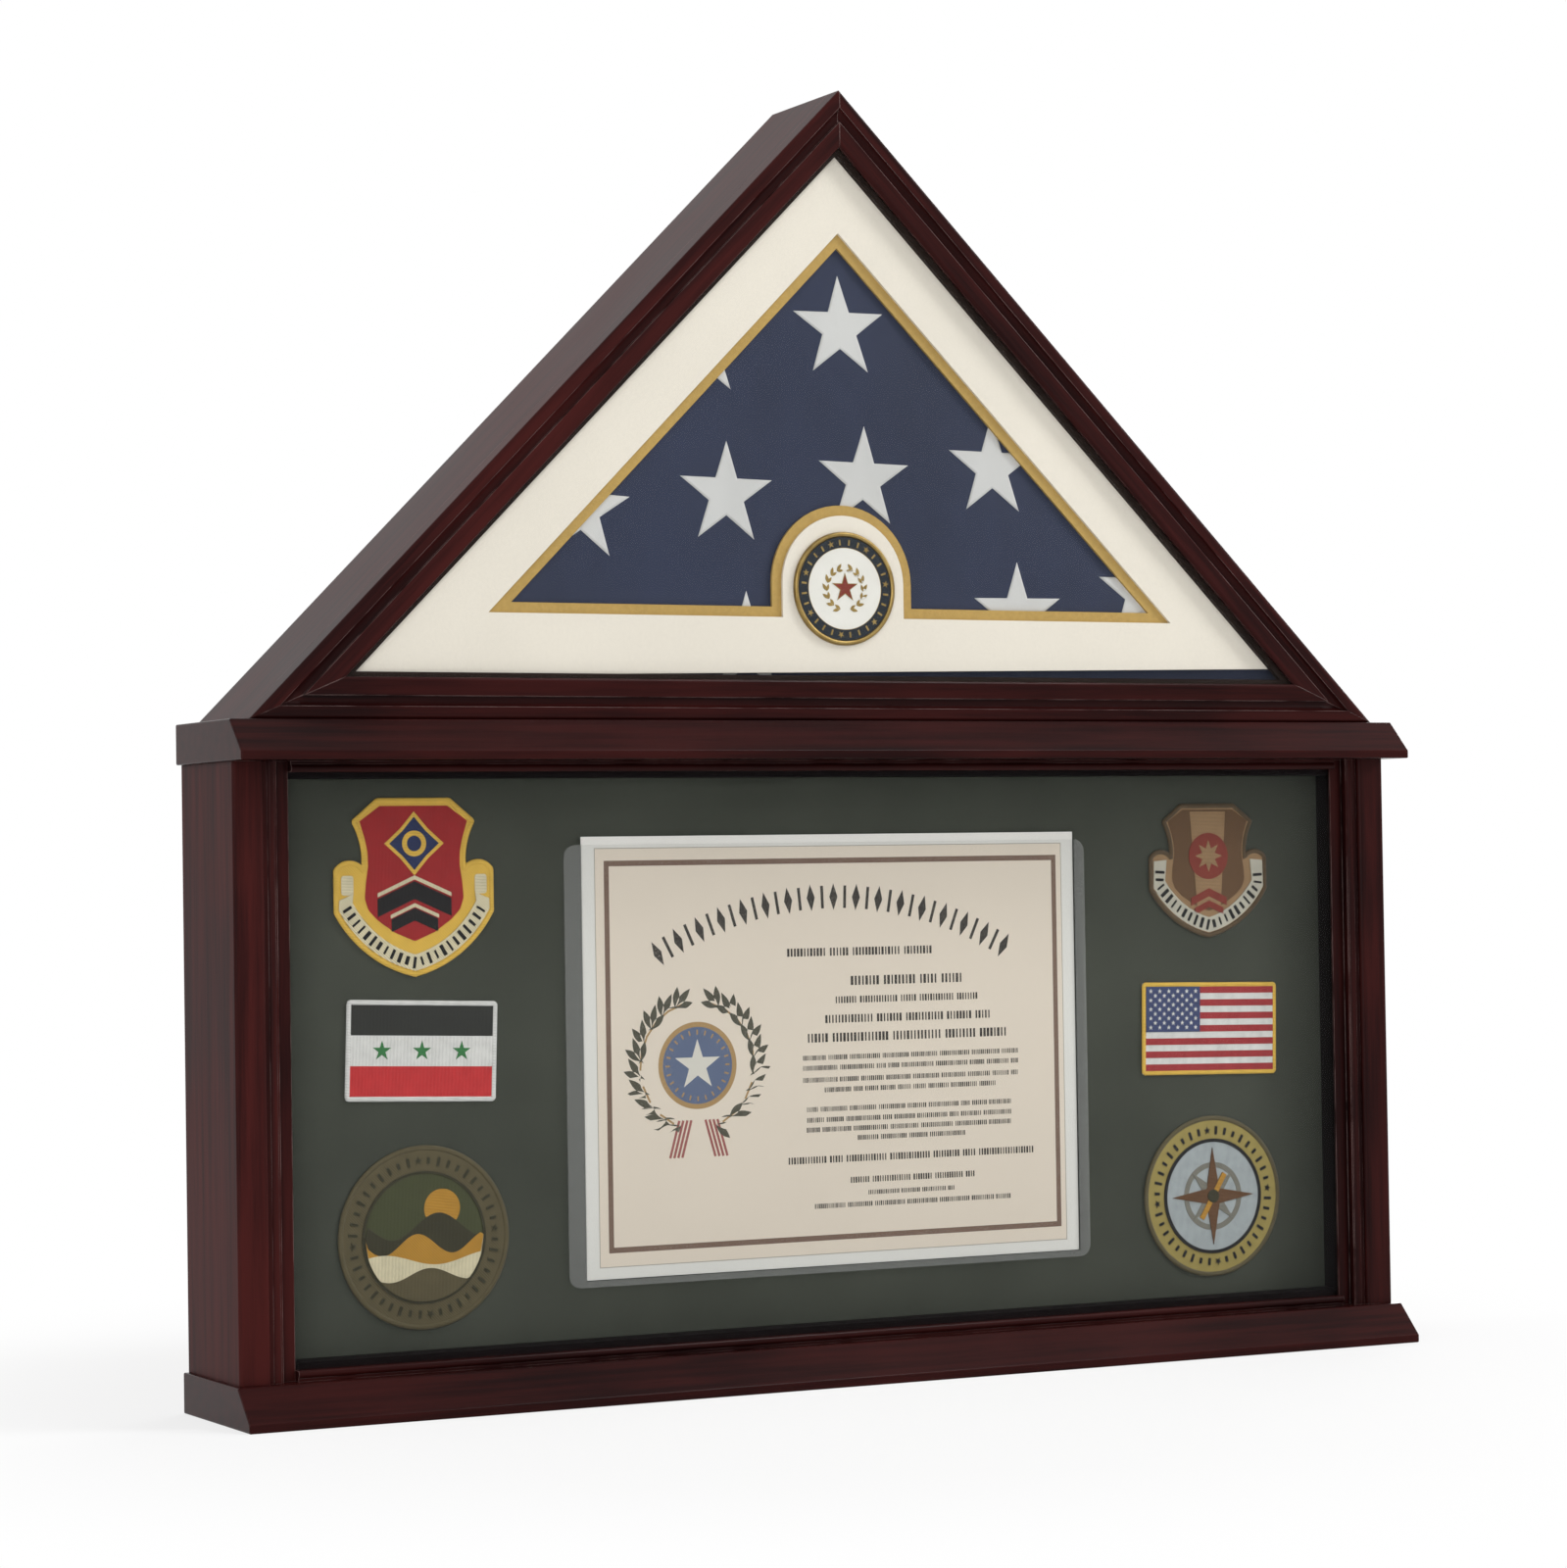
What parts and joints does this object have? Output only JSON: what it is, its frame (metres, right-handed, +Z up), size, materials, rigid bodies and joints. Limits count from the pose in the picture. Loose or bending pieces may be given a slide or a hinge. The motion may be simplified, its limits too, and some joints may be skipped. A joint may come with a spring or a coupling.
{
  "type": "folded flag display case",
  "caption": "Triangular glazed case with a folded flag behind a mat, standing on a glazed display case with certificate and patches, opened from the back.",
  "frame": {"origin": "centre of the plinth's underside", "axes": "+X to the viewer's right, -Y out of the glass towards the viewer, +Z up"},
  "size_m": [0.6506, 0.095, 0.6418],
  "materials": {
    "lacquered_wood": "satin dark cherry lacquer",
    "dark_strip": "matt black stain",
    "glass": "clear polished",
    "cream_mat_board": "matt",
    "gold_mat_board": "satin gold",
    "green_board": "matt cloth",
    "hardboard": "matt",
    "navy_flag": "woven",
    "medallion_brass": "polished",
    "medallion_enamel": "gloss enamel",
    "certificate_paper": "printed matt",
    "clear_sleeve": "clear",
    "crest_red": "embroidered",
    "crest_tan": "embroidered",
    "patch_white": "embroidered",
    "patch_olive": "embroidered",
    "button_brass": "satin",
    "steel": "zinc plated",
    "rubber": "matt"
  },
  "bodies": {
    "case": {"plinth_board": "lacquered_wood", "cornice_board": "lacquered_wood", "left_side_board": "lacquered_wood", "right_side_board": "lacquered_wood", "plinth_screws": "steel", "joining_screws": "steel", "keyhole_plates": "steel", "keyhole_screws": "steel", "left_glass_stop": "lacquered_wood", "right_glass_stop": "lacquered_wood", "bottom_glass_stop": "lacquered_wood", "top_glass_stop": "lacquered_wood", "display_glass": "glass", "left_liner": "dark_strip", "right_liner": "dark_strip", "bottom_liner": "dark_strip", "top_liner": "dark_strip", "left_roof_board": "lacquered_wood", "right_roof_board": "lacquered_wood", "flag_floor_board": "lacquered_wood", "left_rake_moulding": "lacquered_wood", "right_rake_moulding": "lacquered_wood", "sill_moulding": "lacquered_wood", "flag_glass": "glass", "left_rake_spacer": "dark_strip", "right_rake_spacer": "dark_strip", "sill_spacer": "dark_strip", "cream_mat": "cream_mat_board", "gold_mat": "gold_mat_board", "medallion_rim": "medallion_brass", "medallion_face": "medallion_enamel", "folded_flag": "navy_flag", "flag_button_screws": "steel", "display_button_screws": "steel", "wall_bumpers": "rubber"},
    "display_tray": {"display_board": "green_board", "left_tray_rail": "dark_strip", "right_tray_rail": "dark_strip", "display_back_panel": "hardboard", "certificate_sheet": "certificate_paper", "certificate_sleeve": "clear_sleeve", "left_crest_patch": "crest_red", "right_crest_patch": "crest_tan", "left_flag_patch": "patch_white", "right_flag_patch": "patch_white", "left_round_patch": "patch_olive", "right_round_patch": "patch_white"},
    "flag_panel": {"flag_back_panel": "hardboard"},
    "flag_button_1": {"flag_turn_button_1": "button_brass"},
    "flag_button_2": {"flag_turn_button_2": "button_brass"},
    "flag_button_3": {"flag_turn_button_3": "button_brass"},
    "flag_button_4": {"flag_turn_button_4": "button_brass"},
    "flag_button_5": {"flag_turn_button_5": "button_brass"},
    "display_button_1": {"display_turn_button_1": "button_brass"},
    "display_button_2": {"display_turn_button_2": "button_brass"},
    "display_button_3": {"display_turn_button_3": "button_brass"},
    "display_button_4": {"display_turn_button_4": "button_brass"},
    "display_button_5": {"display_turn_button_5": "button_brass"},
    "display_button_6": {"display_turn_button_6": "button_brass"}
  },
  "joints": [
    {"name": "tray_slide", "type": "slide", "parent": "case", "child": "display_tray", "axis": [0, 1, 0], "range_m": [0, 0.08]},
    {"name": "flag_panel_slide", "type": "slide", "parent": "case", "child": "flag_panel", "axis": [0, 1, 0], "range_m": [0, 0.06]},
    {"name": "flag_button_1_turn", "type": "hinge", "parent": "case", "child": "flag_button_1", "pos_m": [-0.21833, 0.04625, 0.41498], "axis": [0, 1, 0], "range_deg": [0, 90]},
    {"name": "flag_button_2_turn", "type": "hinge", "parent": "case", "child": "flag_button_2", "pos_m": [-0.09105, 0.04625, 0.54226], "axis": [0, 1, 0], "range_deg": [0, 90]},
    {"name": "flag_button_3_turn", "type": "hinge", "parent": "case", "child": "flag_button_3", "pos_m": [0.21833, 0.04625, 0.41498], "axis": [0, -1, 0], "range_deg": [0, 90]},
    {"name": "flag_button_4_turn", "type": "hinge", "parent": "case", "child": "flag_button_4", "pos_m": [0.09105, 0.04625, 0.54226], "axis": [0, -1, 0], "range_deg": [0, 90]},
    {"name": "flag_button_5_turn", "type": "hinge", "parent": "case", "child": "flag_button_5", "pos_m": [0, 0.04625, 0.3333], "axis": [0, -1, 0], "range_deg": [0, 90]},
    {"name": "display_button_1_turn", "type": "hinge", "parent": "case", "child": "display_button_1", "pos_m": [-0.31475, 0.04625, 0.075], "axis": [0, 1, 0], "range_deg": [0, 90]},
    {"name": "display_button_2_turn", "type": "hinge", "parent": "case", "child": "display_button_2", "pos_m": [-0.31475, 0.04625, 0.205], "axis": [0, 1, 0], "range_deg": [0, 90]},
    {"name": "display_button_3_turn", "type": "hinge", "parent": "case", "child": "display_button_3", "pos_m": [0.31475, 0.04625, 0.075], "axis": [0, -1, 0], "range_deg": [0, 90]},
    {"name": "display_button_4_turn", "type": "hinge", "parent": "case", "child": "display_button_4", "pos_m": [0.31475, 0.04625, 0.205], "axis": [0, -1, 0], "range_deg": [0, 90]},
    {"name": "display_button_5_turn", "type": "hinge", "parent": "case", "child": "display_button_5", "pos_m": [0, 0.04625, 0.3139], "axis": [0, 1, 0], "range_deg": [0, 90]},
    {"name": "display_button_6_turn", "type": "hinge", "parent": "case", "child": "display_button_6", "pos_m": [0, 0.04625, 0.0134], "axis": [0, -1, 0], "range_deg": [0, 90]}
  ]
}
